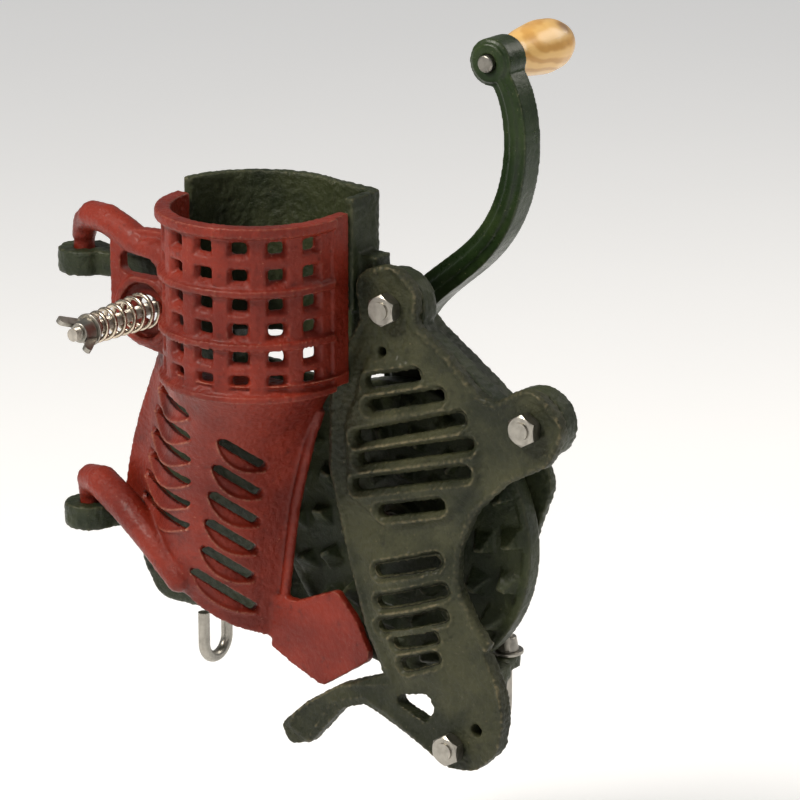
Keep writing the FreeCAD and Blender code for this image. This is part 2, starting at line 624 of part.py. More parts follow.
def prism(corners, front, back):
    face = Part.Face(Part.Wire(Part.__sortEdges__([edge.toShape() for edge in rounded(corners)])))
    face.rotate(Vector(0, 0, 0), Vector(1, 0, 0), 90)
    face.translate(Vector(0, back, 0))
    return face.extrude(Vector(0, front - back, 0))


def make_grid():
    """Front half of the feed throat with its ribs, lip and pocketed holes."""
    axis = Vector(size("throat_x"), size("throat_y"), 0)
    outer, wall = size("grid_outer"), size("grid_wall")
    top, foot = size("grid_top"), size("grid_foot")

    def tube(radius, low, high):
        return Part.makeCylinder(radius, high - low, axis + Vector(0, 0, low))

    solid = tube(outer, foot, top)
    for level in RIB_LEVELS:
        solid = solid.fuse(tube(outer + size("rib_rise"), level - 1.6, level + 1.6))
    solid = solid.fuse(tube(outer + size("rib_rise") + 0.6, top - 5, top))
    front = Part.makeBox(200, 100, 200, Vector(axis.x - 100, axis.y - 100 + 1, 0))
    solid = solid.common(front)
    solid = solid.fuse(Part.makeBox(wall + 1, 11.7, top - foot, Vector(axis.x + outer - wall, axis.y, foot)))
    pockets = []
    for level in GRID_ROWS:
        for angle in GRID_COLUMNS:
            pockets.append(radial_pocket(angle, level))
    bore = tube(outer - wall, foot - 1, top + 1)
    return solid.cut(bore).cut(Part.makeCompound(pockets))


def louvre_slots():
    """Slots through the two faces of the lower shell, one column on each side of the crease."""
    slots = []
    for k in range(LEFT_LOUVRES):
        shape = Part.makeBox(50, 50, 3.6, Vector(-25, -25, -1.8))
        shape.rotate(Vector(0, 0, 0), Vector(1, 0, 0), -18)
        shape.rotate(Vector(0, 0, 0), Vector(0, 0, 1), -33)
        shape.translate(Vector(-97 - 2.5 * k, -45 + 1.3 * k, 56 - 11.5 * k))
        slots.append(shape)
    for k in range(RIGHT_LOUVRES):
        length = 29 if k < RIGHT_LOUVRES - 1 else 36
        shape = Part.makeBox(length, 36, 4, Vector(-length / 2, -18, -2))
        shape.rotate(Vector(0, 0, 0), Vector(0, 1, 0), 36)
        shape.rotate(Vector(0, 0, 0), Vector(0, 0, 1), 58)
        shape.translate(Vector(-63 - 2.7 * k, -40 + 1.2 * k, 36 - 14.4 * k))
        slots.append(shape)
    return slots


UPPER_HOOK = [(-102, -40, 122, 7.5), (-118, -37, 123, 7), (-130, -35, 128, 7), (-144, -32, 132, 7),
              (-157, -27, 131, 6.8), (-165.5, -22, 126, 6), (-168.5, -20, 119, 5.6)]
LOWER_HOOK = [(-168.5, -20, -9, 5.4), (-166, -22, -1, 6.8), (-155, -27, 0.5, 7.8), (-134, -35, -6, 7.8),
              (-114, -40, -18, 7.2), (-97, -43, -32, 6.4)]


def rounded_chain(points):
    """Round bar through (x, y, z, radius) points, tapering from each to the next."""
    shapes = []
    for (x1, y1, z1, r1), (x2, y2, z2, r2) in zip(points, points[1:]):
        start, end = Vector(x1, y1, z1), Vector(x2, y2, z2)
        length = start.distanceToPoint(end)
        if abs(r1 - r2) < 0.01:
            shapes.append(Part.makeCylinder(r1, length, start, end - start))
        else:
            shapes.append(Part.makeCone(r1, r2, length, start, end - start))
    shapes += [Part.makeSphere(radius, Vector(x, y, z)) for x, y, z, radius in points]
    return shapes


def make_hooks():
    """Upper and lower hooks that drop into the hinge rings from above."""
    x, y = size("hinge_x"), size("hinge_y")
    pin = size("ring_hole") - 0.06
    height = size("ring_height")
    shapes = rounded_chain(UPPER_HOOK) + rounded_chain(LOWER_HOOK)
    for level in ("ring_top_z", "ring_low_z"):
        foot = size(level) - height / 2 - 1
        shapes.append(Part.makeCylinder(pin, height + 6, Vector(x, y, foot)))
    return shapes


def make_pressure_plate():
    sections = [shell_section(level, path, size("shell_wall")) for level, path in SHELL_LEVELS]
    shell = Part.makeLoft(sections, True, False)
    shell = shell.cut(prism(SHELL_CUT, -120, 40))
    solid = shell.cut(Part.makeCompound(louvre_slots()))
    front = size("tongue_front")
    solid = solid.fuse([
        make_grid(),
        prism(TONGUE, front, front + size("tongue_thick")),
        prism(BRACKET_PLATE, -40, -34),
        Part.makeCylinder(16.5, 8, Vector(size("rod_x"), -42, size("rod_z")), Vector(0, 1, 0)),
    ] + make_hooks())
    bore = Part.makeCylinder(size("grid_outer") - size("grid_wall"), 90,
                             Vector(size("throat_x"), size("throat_y"), size("grid_foot")))
    cover_gap = Part.makeBox(30, 45, 60, Vector(-27, size("cover_front") - 0.3, 40))
    tools = [
        bore,
        cover_gap,
        prism([(-131, 110, 4), (-106, 110, 4), (-106, 121, 4), (-131, 121, 4)], -60, -30),
        Part.makeCylinder(13, 4.3, Vector(size("rod_x"), -42, size("rod_z")), Vector(0, 1, 0)),
        Part.makeCylinder(6.2, 30, Vector(size("rod_x"), -50, size("rod_z")), Vector(0, 1, 0)),
    ]
    solid = solid.cut(Part.makeCompound(tools)).removeSplitter()
    feature = doc.addObject("Part::Feature", "pressure_casting")
    feature.Shape = solid
    finish(feature, "pressure_plate")


# ---------------------------------------------------------------- spring bolt

def make_spring_bolt():
    x, z = size("rod_x"), size("rod_z")
    rod = cylinder("spring_rod", "Sizes.rod_radius", "-5 - Sizes.rod_tip", 0, size("rod_tip"), 0, ALONG_Y)
    head = chamfered_hex("spring_head", 10, -6, 4, 0)
    finish(fuse("spring_rod_solid", [rod, head]), "spring_bolt", (x, 0, z))
    finish(chamfered_hex("spring_lock_nut", 10, -28.1, 5, size("rod_radius")), "spring_bolt_nut", (x, 0, z))
    height = size("spring_back") - size("spring_front") - 2 * size("spring_wire")
    turns = 6.5
    flare = math.degrees(math.atan2(size("spring_foot") - size("spring_tip"), height))
    helix = Part.makeHelix(height / turns, height, size("spring_tip"), flare)
    start = helix.Edges[0].Vertexes[0].Point
    profile = Part.Wire(Part.makeCircle(size("spring_wire"), start, Vector(0, 1, 0.15)))
    coil = Part.Wire(helix.Edges).makePipeShell([profile], True, True)
    feature = doc.addObject("Part::Feature", "spring_coil")
    feature.Shape = Part.Solid(coil) if coil.ShapeType == "Shell" else coil
    finish(feature, "pressure_spring", (x, size("spring_front") + size("spring_wire"), z), ALONG_Y)
    front = size("spring_front")
    finish(make_ring("spring_washer", 7.5, size("rod_radius") + 0.1, front - 1.2, front - 0.02), "spring_washer", (x, 0, z))
    finish(make_wing_nut("spring_wing_nut", size("rod_radius") + 0.05), "spring_wing_nut", (x, front - 1.3, z),
           FreeCAD.Rotation(Vector(0, 1, 0), 35))


WINGS = [(-12, 10.5, 2.2), (-8, 11.5, 2.2), (-4, 4.5, 2), (4, 4.5, 2), (8, 11.5, 2.2), (12, 10.5, 2.2),
         (6.5, 0.2, 3), (-6.5, 0.2, 3)]


def make_wing_nut(name, bore):
    """Wing nut whose flat seat is at y = 0 and whose wings point to the front."""
    hub = new_body(name + "_hub")
    turned(hub, name + "_hub_turned", [(0, 0, 0), (5.8, 0, 0.3), (4.6, -6.5, 0.6), (0, -6.5, 0)])
    wings = new_body(name + "_wings")
    feature = wings.newObject("PartDesign::Pad", name + "_wing_pad")
    outline = rounded([(x, -y, r) for x, y, r in WINGS])
    feature.Profile = new_sketch(wings, name + "_wing_sketch", outline, role="XY_Plane", offset="-1.2")
    feature.Length = 2.4
    doc.recompute()
    hole = cylinder(name + "_bore", str(bore), "20", 0, -14, 0, ALONG_Y)
    return cut(name + "_cut", fuse(name + "_solid", [hub, wings]), hole)


# ---------------------------------------------------------------- clamp hooks

def make_hook(side):
    """J-shaped clamp hook through the foot, with its washer and wing nut on top."""
    x, y = size("hook_" + side), size("hook_y")
    low, bend, radius = size("hook_low"), size("hook_bend"), size("hook_radius")
    centre = low + bend + radius
    stem = cylinder(side + "_stem", "Sizes.hook_radius", f"Sizes.hook_top - ({centre})", 0, 0, centre)
    tip = cylinder(side + "_tip", "Sizes.hook_radius", "16", 0, -2 * bend, centre)
    curve = doc.addObject("Part::Torus", side + "_curve")
    curve.setExpression("Radius1", "Sizes.hook_bend")
    curve.setExpression("Radius2", "Sizes.hook_radius")
    curve.Angle3 = 180
    curve.Placement = FreeCAD.Placement(Vector(0, -bend, centre),
                                        FreeCAD.Rotation(Vector(0, 1, 0), 90) * FreeCAD.Rotation(Vector(0, 0, 1), -90))
    finish(fuse(side + "_hook_solid", [stem, tip, curve]), side + "_hook_bolt", (x, y, 0))
    seat = size("foot_thick") - size("shaft_height")
    washer = make_ring(side + "_washer", 8, radius + 0.1, 0, 1.5)
    up = FreeCAD.Rotation(Vector(1, 0, 0), 90)
    finish(washer, side + "_hook_washer", (x, y, seat), up)
    turn = FreeCAD.Rotation(Vector(0, 0, 1), -55) * FreeCAD.Rotation(Vector(1, 0, 0), -90)
    finish(make_wing_nut(side + "_wing_nut", radius + 0.05), side + "_wing_nut", (x, y, seat + 1.55), turn)


make_disc()
make_shaft()
make_key()
make_shaft_rings()
make_crank()
make_grip()
make_crank_nut()
make_cover()
make_cover_bolts()
make_housing()
make_pressure_plate()
make_spring_bolt()
make_hook("left")
make_hook("right")
doc.recompute()

for item in doc.Objects:
    if "Invalid" in item.State or "Error" in item.State:
        raise RuntimeError(f"{item.Label} did not build: {item.State}")
os.makedirs("parts", exist_ok=True)
for item in SUBPARTS:
    if item.Shape.isNull() or not item.Shape.isValid():
        raise RuntimeError(f"{item.Label} has no valid shape")
    item.Shape.exportStep(f"parts/{item.Label}.step")
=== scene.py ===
import bpy
import bmesh
import json
import math
import numpy as np
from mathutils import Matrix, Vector, noise


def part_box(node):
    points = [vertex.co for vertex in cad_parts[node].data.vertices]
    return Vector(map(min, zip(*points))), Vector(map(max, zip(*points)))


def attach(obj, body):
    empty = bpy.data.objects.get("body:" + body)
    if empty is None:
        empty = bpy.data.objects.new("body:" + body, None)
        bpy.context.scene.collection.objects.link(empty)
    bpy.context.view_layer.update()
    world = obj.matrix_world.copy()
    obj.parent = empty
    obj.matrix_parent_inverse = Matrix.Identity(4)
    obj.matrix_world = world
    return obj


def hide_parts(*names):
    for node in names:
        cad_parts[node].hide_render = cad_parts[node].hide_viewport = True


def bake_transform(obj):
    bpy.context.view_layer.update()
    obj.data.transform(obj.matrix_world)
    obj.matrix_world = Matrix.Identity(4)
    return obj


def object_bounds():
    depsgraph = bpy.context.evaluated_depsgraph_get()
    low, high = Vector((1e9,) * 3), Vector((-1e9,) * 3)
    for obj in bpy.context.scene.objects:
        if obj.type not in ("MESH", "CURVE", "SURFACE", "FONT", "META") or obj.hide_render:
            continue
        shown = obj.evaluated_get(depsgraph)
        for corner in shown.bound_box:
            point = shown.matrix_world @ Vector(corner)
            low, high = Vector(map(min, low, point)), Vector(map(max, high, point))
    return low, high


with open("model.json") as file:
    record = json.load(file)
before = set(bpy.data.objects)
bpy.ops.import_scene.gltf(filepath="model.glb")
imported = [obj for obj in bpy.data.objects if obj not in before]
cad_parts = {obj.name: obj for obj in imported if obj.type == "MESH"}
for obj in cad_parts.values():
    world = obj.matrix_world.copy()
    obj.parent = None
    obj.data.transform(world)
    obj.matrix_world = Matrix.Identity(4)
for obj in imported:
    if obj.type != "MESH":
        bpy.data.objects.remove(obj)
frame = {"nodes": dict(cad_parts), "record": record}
cad_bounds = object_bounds()

# Looks of a hand-cranked corn sheller. Metres, row frame: z up, the crank side at +y.
# The castings are remeshed copies of their CAD solids with softened edges, raised beads and sand texture.

MM = 0.001


def middle(node):
    low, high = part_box(node)
    return (Vector(low) + Vector(high)) / 2


SHAFT = Vector((0, 0, middle("shaft").z))
DISC_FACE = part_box("cover_nuts")[0][1] + 28.5 * MM
DISC = Vector((0, DISC_FACE, SHAFT.z))


def at(x, y, z):
    """Point given in millimetres from the centre of the disc's toothed face."""
    return DISC + Vector((x, y, z)) * MM


# ---------------------------------------------------------------- node materials

class Nodes:
    """Short way to wire a material's node tree."""

    def __init__(self, name):
        self.material = bpy.data.materials.new(name)
        self.material.use_nodes = True
        self.tree = self.material.node_tree
        self.tree.nodes.clear()
        self.out = self.tree.nodes.new("ShaderNodeOutputMaterial")
        self.bsdf = self.tree.nodes.new("ShaderNodeBsdfPrincipled")
        self.tree.links.new(self.bsdf.outputs[0], self.out.inputs[0])
        self.coords = self.tree.nodes.new("ShaderNodeTexCoord").outputs["Object"]

    def link(self, source, target):
        if isinstance(source, (int, float)):
            target.default_value = source
        elif isinstance(source, tuple):
            target.default_value = source if len(source) == 4 else (*source, 1)
        else:
            self.tree.links.new(source, target)

    def noise(self, scale, detail=4, rough=0.6, coords=None, out="Fac"):
        node = self.tree.nodes.new("ShaderNodeTexNoise")
        node.inputs["Scale"].default_value = scale
        node.inputs["Detail"].default_value = detail
        node.inputs["Roughness"].default_value = rough
        self.tree.links.new(coords or self.coords, node.inputs["Vector"])
        return node.outputs[out]

    def stretch(self, x, y, z):
        """Object coordinates scaled by different amounts along the three axes."""
        node = self.tree.nodes.new("ShaderNodeMapping")
        node.inputs["Scale"].default_value = (x, y, z)
        self.tree.links.new(self.coords, node.inputs["Vector"])
        return node.outputs[0]

    def ramp(self, source, low, high, start=0.0, end=1.0):
        """Smooth step from start to end as the source goes from low to high."""
        node = self.tree.nodes.new("ShaderNodeMapRange")
        node.interpolation_type = "SMOOTHSTEP"
        self.link(source, node.inputs["Value"])
        node.inputs["From Min"].default_value = low
        node.inputs["From Max"].default_value = high
        node.inputs["To Min"].default_value = start
        node.inputs["To Max"].default_value = end
        return node.outputs[0]

    def maths(self, operation, first, second):
        node = self.tree.nodes.new("ShaderNodeMath")
        node.operation = operation
        node.use_clamp = operation in ("MULTIPLY", "ADD", "SUBTRACT")
        self.link(first, node.inputs[0])
        self.link(second, node.inputs[1])
        return node.outputs[0]

    def mix(self, factor, first, second):
        node = self.tree.nodes.new("ShaderNodeMix")
        node.data_type = "RGBA"
        self.link(factor, node.inputs["Factor"])
        self.link(first, node.inputs[6])
        self.link(second, node.inputs[7])
        return node.outputs[2]

    def edges(self, low, high):
        """Mask from pointiness: outside edges if low is below high, crevices if it is above."""
        geometry = self.tree.nodes.new("ShaderNodeNewGeometry")
        return self.ramp(geometry.outputs["Pointiness"], low, high)

    def bump(self, height, strength, distance, before=None):
        node = self.tree.nodes.new("ShaderNodeBump")
        node.inputs["Strength"].default_value = strength
        node.inputs["Distance"].default_value = distance
        self.link(height, node.inputs["Height"])
        if before is not None:
            self.tree.links.new(before, node.inputs["Normal"])
        return node.outputs[0]

    def finish(self, color, roughness, normal=None, metallic=0, coat=0, coat_rough=0.2, specular=0.5):
        self.link(color, self.bsdf.inputs["Base Color"])
        self.link(roughness, self.bsdf.inputs["Roughness"])
        self.link(metallic, self.bsdf.inputs["Metallic"])
        self.link(coat, self.bsdf.inputs["Coat Weight"])
        self.link(coat_rough, self.bsdf.inputs["Coat Roughness"])
        self.link(specular, self.bsdf.inputs["Specular IOR Level"])
        if normal is not None:
            self.tree.links.new(normal, self.bsdf.inputs["Normal"])
        return self.material


def painted_iron(name, dark, light, worn_and_highlight, gloss, sand, edge_wear_and_highlight):
    """Brushed or dipped paint over a sand casting, thin and rubbed on its edges.

    dark, light and worn_and_highlight are colours, gloss is the roughness, sand the strength of the grain,
    and edge_wear_and_highlight is how much of the worn_and_highlight colour shows on the edges, where it is
    partly rubbed paint and partly a painted highlight; the same colour also tints the specks, and crevices
    get painted shade.
    """
    m = Nodes(name)
    blotch = m.ramp(m.noise(28, 5, 0.62), 0.36, 0.66)
    color = m.mix(blotch, dark, light)
    grime = m.ramp(m.noise(160, 5, 0.7), 0.56, 0.72, 0, 0.55)
    color = m.mix(grime, color, tuple(0.45 * c for c in dark))
    # Painted shade: creases and hollows found by pointiness are darkened towards a third of the dark colour.
    painted_crevice_shade = m.edges(0.49, 0.42)
    color = m.mix(m.maths("MULTIPLY", painted_crevice_shade, 0.55), color, tuple(0.3 * c for c in dark))
    # Painted highlight and wear: sharp edges found by pointiness are lightened towards the worn colour,
    # partly as rubbed paint and partly as a painted highlight on the glossy edges.
    edge_wear_and_highlight_mask = m.maths("MULTIPLY", m.edges(0.52, 0.6), m.ramp(m.noise(420, 5, 0.7), 0.38, 0.55))
    color = m.mix(m.maths("MULTIPLY", edge_wear_and_highlight_mask, edge_wear_and_highlight), color, worn_and_highlight)
    fleck = m.ramp(m.noise(900, 2, 0.5), 0.7, 0.76, 0, 0.5)
    color = m.mix(fleck, color, worn_and_highlight)
    rough = m.ramp(m.noise(90, 4, 0.6), 0.3, 0.7, gloss - 0.07, gloss + 0.12)
    coarse = m.bump(m.noise(520, 6, 0.68), sand, 0.0011)
    fine = m.bump(m.noise(2100, 3, 0.6), sand * 0.6, 0.0004, coarse)
    return m.finish(color, rough, fine, coat=0.06, coat_rough=0.25, specular=0.24)


def bright_steel(name, tint, rough, grain, thread=None):
    """Zinc-plated or drawn steel with fine scratches and a warm bloom, threaded along an axis if given."""
    m = Nodes(name)
    bloom = m.ramp(m.noise(230, 4, 0.6), 0.35, 0.7)
    color = m.mix(bloom, tint, tuple(0.72 * c for c in tint))
    # Painted shade: crevices found by pointiness are darkened towards a dark brown-grey.
    painted_crevice_shade = m.edges(0.5, 0.45)
    color = m.mix(m.maths("MULTIPLY", painted_crevice_shade, 0.6), color, (0.06, 0.05, 0.04))
    scratch = m.noise(700, 3, 0.7, coords=m.stretch(*grain))
    roughness = m.ramp(scratch, 0.3, 0.75, rough - 0.08, rough + 0.14)
    normal = m.bump(scratch, 0.12, 0.0004)
    if thread:
        wave = m.tree.nodes.new("ShaderNodeTexWave")
        wave.bands_direction = thread
        wave.inputs["Scale"].default_value = 314
        m.tree.links.new(m.coords, wave.inputs["Vector"])
        normal = m.bump(wave.outputs["Fac"], 0.9, 0.0006, normal)
    return m.finish(color, roughness, normal, metallic=1)


def varnished_wood():
    """Pale pine turned along y, with rings, pores, a knot and a clear varnish."""
    m = Nodes("varnished_pine")
    warp = m.noise(34, 3, 0.5, out="Color")
    add = m.tree.nodes.new("ShaderNodeVectorMath")
    add.operation = "MULTIPLY_ADD"
    m.tree.links.new(warp, add.inputs[0])
    add.inputs[1].default_value = (0.009, 0.02, 0.009)
    m.tree.links.new(m.coords, add.inputs[2])
    wave = m.tree.nodes.new("ShaderNodeTexWave")
    wave.wave_type = "RINGS"
    wave.rings_direction = "Y"
    wave.inputs["Scale"].default_value = 62
    wave.inputs["Distortion"].default_value = 2.2
    wave.inputs["Detail"].default_value = 3
    shift = m.tree.nodes.new("ShaderNodeMapping")
    centre = middle("wooden_grip")
    shift.inputs["Location"].default_value = (0.022 - centre.x, 0, 0.03 - centre.z)
    m.tree.links.new(add.outputs[0], shift.inputs["Vector"])
    m.tree.links.new(shift.outputs[0], wave.inputs["Vector"])
    color = m.mix(m.ramp(wave.outputs["Fac"], 0.2, 0.95), (0.80, 0.49, 0.16), (0.58, 0.30, 0.07))
    color = m.mix(m.ramp(m.noise(45, 3), 0.42, 0.7, 0, 0.6), color, (0.82, 0.46, 0.12))
    pores = m.noise(900, 3, 0.6, coords=m.stretch(1, 0.12, 1))
    color = m.mix(m.ramp(pores, 0.6, 0.75, 0, 0.35), color, (0.42, 0.21, 0.06))
    knot = m.tree.nodes.new("ShaderNodeVectorMath")
    knot.operation = "DISTANCE"
    m.tree.links.new(m.coords, knot.inputs[0])
    knot.inputs[1].default_value = tuple(centre + Vector((0.008, 0.012, 0.010)))
    spot = m.ramp(knot.outputs["Value"], 0.0062, 0.0015)
    color = m.mix(m.maths("MULTIPLY", spot, 0.8), color, (0.20, 0.08, 0.02))
    return m.finish(color, 0.34, m.bump(pores, 0.08, 0.0004), coat=0.35, coat_rough=0.18)


MATERIALS = {
    "red_paint": painted_iron("red_enamel", dark=(0.125, 0.010, 0.004), light=(0.21, 0.021, 0.009),
                              worn_and_highlight=(0.42, 0.19, 0.12), gloss=0.36, sand=0.6, edge_wear_and_highlight=0.7),
    "green_paint": painted_iron("green_enamel", dark=(0.011, 0.017, 0.006), light=(0.034, 0.041, 0.016),
                                worn_and_highlight=(0.18, 0.16, 0.09), gloss=0.36, sand=0.8, edge_wear_and_highlight=0.5),
    "crank_paint": painted_iron("crank_enamel", dark=(0.010, 0.021, 0.006), light=(0.024, 0.040, 0.012),
                                worn_and_highlight=(0.25, 0.24, 0.14), gloss=0.30, sand=0.22, edge_wear_and_highlight=0.45),
    "cover_paint": painted_iron("olive_casting", dark=(0.013, 0.016, 0.006), light=(0.046, 0.047, 0.021),
                                worn_and_highlight=(0.22, 0.18, 0.10), gloss=0.44, sand=0.95, edge_wear_and_highlight=0.7),
    "zinc_steel": bright_steel("zinc_plate", (0.37, 0.35, 0.31), 0.36, (1, 1, 0.2)),
    "spring_bolt": bright_steel("threaded_rod", (0.52, 0.48, 0.42), 0.34, (1, 0.2, 1), "Y"),
    "turned_steel": bright_steel("turned_steel", (0.46, 0.44, 0.41), 0.36, (1, 0.1, 1)),
    "spring_steel": bright_steel("spring_wire", (0.60, 0.52, 0.41), 0.22, (1, 0.3, 1)),
    "bush_metal": bright_steel("bush_bronze", (0.50, 0.33, 0.14), 0.38, (1, 0.1, 1)),
    "wood": varnished_wood(),
}
SLOT_OF = {part["node"]: part["material_slot"] for part in frame["record"]["subparts"]}
BODY_OF = {node: body for body, nodes in frame["record"]["behaviour"]["bodies"].items() for node in nodes}


def paint(obj, slot):
    obj.data.materials.clear()
    obj.data.materials.append(MATERIALS[slot])


# ---------------------------------------------------------------- mesh tools

BEAD_RESOLUTION = 4
FAR = 1e9

def new_object(name, mesh):
    obj = bpy.data.objects.new(name, mesh)
    bpy.context.scene.collection.objects.link(obj)
    return obj


def applied(obj):
    """The object's mesh with its modifiers applied, as its own data."""
    mesh = bpy.data.meshes.new_from_object(obj.evaluated_get(bpy.context.evaluated_depsgraph_get()))
    obj.modifiers.clear()
    obj.data = mesh
    return obj


def bead(points, radius):
    """Round closed rod along points."""
    curve = bpy.data.curves.new("bead", "CURVE")
    curve.dimensions = "3D"
    curve.bevel_depth = radius
    curve.bevel_resolution = BEAD_RESOLUTION
    curve.use_fill_caps = True
    spline = curve.splines.new("POLY")
    spline.points.add(len(points) - 1)
    for point, place in zip(spline.points, points):
        point.co = (*place, 1)
    obj = new_object("bead", curve)
    mesh = bpy.data.meshes.new_from_object(obj.evaluated_get(bpy.context.evaluated_depsgraph_get()))
    bpy.data.objects.remove(obj)
    return mesh


def joined(name, meshes):
    build = bmesh.new()
    for mesh in meshes:
        build.from_mesh(mesh)
    out = bpy.data.meshes.new(name)
    build.to_mesh(out)
    build.free()
    return out


def smoothstep(low, high, value):
    t = np.clip((value - low) / (high - low), 0, 1)
    return t * t * (3 - 2 * t)


def casting(nodes, voxel, sand, sand_size, soften=3, extras=(), relief=None):
    """Remeshed copy of cast nodes: extras melted in, edges softened, sand texture raised.

    voxel, sand (the height of the grain) and sand_size are in millimetres. soften is a count of rounds.
    """
    node = nodes[0]
    sources = [frame["nodes"][each].data.copy() for each in nodes]
    obj = new_object("cast_" + node, joined("cast_" + node, [*sources, *extras]))
    remesh = obj.modifiers.new("melt", "REMESH")
    remesh.mode = "VOXEL"
    remesh.voxel_size = voxel * MM
    smooth = obj.modifiers.new("soften", "SMOOTH")
    smooth.factor = 0.5
    smooth.iterations = soften
    applied(obj)
    mesh = obj.data
    count = len(mesh.vertices)
    places = np.empty(count * 3)
    normals = np.empty(count * 3)
    mesh.vertices.foreach_get("co", places)
    mesh.vertex_normals.foreach_get("vector", normals)
    places, normals = places.reshape(-1, 3), normals.reshape(-1, 3)
    if relief:
        places = relief(places, normals)
    grain = np.array([noise.noise(Vector(p) / (sand_size * MM)) for p in places])
    places = places + normals * (grain * sand * MM)[:, None]
    mesh.vertices.foreach_set("co", places.ravel())
    mesh.update()
    mesh.shade_smooth()
    paint(obj, SLOT_OF[node])
    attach(obj, BODY_OF[node])
    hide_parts(*nodes)
    return obj


# ---------------------------------------------------------------- pressure plate

def louvres():
    """Place, length and directions (along, outward, down) of each slot in the two louvre columns."""
    out = []
    columns = [
        (6, 50, (-97, -45, 56), (-2.5, 1.3, -11.5), -33, 0),
        (6, 29, (-63, -40, 36), (-2.7, 1.2, -14.4), 58, 36),
    ]
    for count, length, first, step, heading, tilt in columns:
        turn, lean = math.radians(heading), math.radians(tilt)
        along = Vector((math.cos(turn) * math.cos(lean), math.sin(turn) * math.cos(lean), -math.sin(lean)))
        outward = Vector((math.sin(turn), -math.cos(turn), 0))
        down = outward.cross(along)
        if down.z > 0:
            down = -down
        for k in range(count):
            reach = 36 if k == count - 1 and tilt else length
            out.append((at(*[a + b * k for a, b in zip(first, step)]), reach, along, outward, down))
    return out


LOWER_HOOK = [(-168, -20, -9), (-166, -22, -1), (-155, -27, 0), (-134, -35, -6), (-114, -40, -18),
              (-97, -43, -32)]


def near_hook(places):
    """Distance in millimetres from the centre line of the lower hook."""
    line = [np.array(at(*p)) for p in LOWER_HOOK]
    away = np.full(len(places), FAR)
    for a, b in zip(line, line[1:]):
        t = np.clip(((places - a) @ (b - a)) / ((b - a) @ (b - a)), 0, 1)
        away = np.minimum(away, np.linalg.norm(places - (a + t[:, None] * (b - a)), axis=1))
    return away / MM


SCOOP_DEPTH = 2.3
RIM_HEIGHT = 1.3
RIM_WIDTH = 0.95
LIP_LOW = 1.2
LIP_RISE = 6.6


def plate_relief(places, normals):
    """Scoops below the louvre slots, each with a raised crescent rim, faded out beside the lower hook."""
    places = places.copy()
    clear = smoothstep(8.5, 11, near_hook(places))
    for centre, reach, along, outward, down in louvres():
        offset = (places - np.array(centre)) / MM
        u, v, w = offset @ np.array(along), offset @ np.array(down), offset @ np.array(outward)
        half = reach / 2 + 2.5
        arc = np.clip(1 - (u / half) ** 2, 0, None)
        near = (np.abs(u) < half) & (np.abs(w) < 12) & (normals @ np.array(outward) > 0.1)
        lip = LIP_LOW + LIP_RISE * arc
        scoop = smoothstep(0.4, 1.6, v + 2) * np.clip(1 - v / lip, 0, 1) ** 0.8 * smoothstep(0, 0.25, arc)
        rim = np.exp(-((v - lip) / RIM_WIDTH) ** 2) * smoothstep(0, 0.12, arc)
        push = np.where(near, RIM_HEIGHT * rim - SCOOP_DEPTH * scoop, 0) * clear
        places += np.array(outward) * (push * MM)[:, None]
    return places


SHELL_EDGE = [(-36, -13.6, 54), (-41.5, -13.6, 40), (-47, -13.6, 20), (-51, -13.6, 4), (-53.4, -13.6, -12),
              (-57, -13.6, -38), (-58.6, -13.6, -58)]


# ---------------------------------------------------------------- guard cover

def polygon_distance(points, corners):
    """Signed distance of (x, z) points to a polygon, positive inside, in millimetres."""
    corners = np.array(corners, float)
    inside = np.zeros(len(points), bool)
    nearest = np.full(len(points), FAR)
    for a, b in zip(corners, np.roll(corners, -1, axis=0)):
        ab = b - a
        t = np.clip(((points - a) @ ab) / (ab @ ab), 0, 1)
        nearest = np.minimum(nearest, np.linalg.norm(points - (a + t[:, None] * ab), axis=1))
        crosses = (a[1] > points[:, 1]) != (b[1] > points[:, 1])
        edge_x = a[0] + (points[:, 1] - a[1]) / (ab[1] if abs(ab[1]) > 1e-9 else 1e-9) * ab[0]
        inside ^= crosses & (points[:, 0] < edge_x)
    return np.where(inside, nearest, -nearest)


# Outlines on the cover, in (x, z) millimetres from the shaft. A slot is its centre line: x1, z1, x2, z2.
UPPER_PAD = [(-3, 87), (13, 90), (40, 73), (58, 52), (56, 36), (40, 18), (8, 6), (-14, 20), (-16, 52)]
COVER_EDGE = [
    (-12, 125), (10, 132), (24, 121), (22, 106), (40, 94), (56, 79), (65, 77), (84, 89), (103, 72), (94, 53),
    (71, 40), (55, 24), (46, 5), (46, -12), (55, -29), (66, -44), (71, -64), (74, -74), (69, -99), (44, -106),
    (30, -97), (9.5, -85), (-6, -79), (-22, -84), (-38, -108), (-51, -101), (-46, -91), (-23, -74), (8, -66),
    (-5, -42),
    (-15, -10), (-25, 30), (-24, 66), (-15, 92), (-8, 104),
]
COVER_SLOTS = [
    (-2, 75, 22, 82), (-1, 64, 35, 75), (-8, 48, 46, 66), (-6, 38, 51, 55), (-9, 25, 50, 42), (5, 15, 36, 24),
    (4, -13, 34, -3), (5, -28, 38, -16), (5, -40, 38, -28), (14, -46, 34, -39), (18, -56, 34, -49),
]
LOWER_PAD = [(-2, 1), (20, 3), (38, 0), (42, -16), (45, -40), (38, -62), (20, -64), (6, -44), (-2, -24)]


PAD_HEIGHT = 2.1
BELLY_HEIGHT = 5.5
WAIST_Z, WAIST_SPAN, WAIST_DEPTH = 5, 9, 1.2
EDGE_INSET, EDGE_WIDTH, EDGE_HEIGHT = 1.8, 1.5, 0.9
CHANNEL_FLOOR, CHANNEL_TOP, CHANNEL_DEPTH = 3.2, 5.4, 1.5
BEAD_AWAY, BEAD_WIDTH, BEAD_HEIGHT = 5.6, 0.9, 0.6


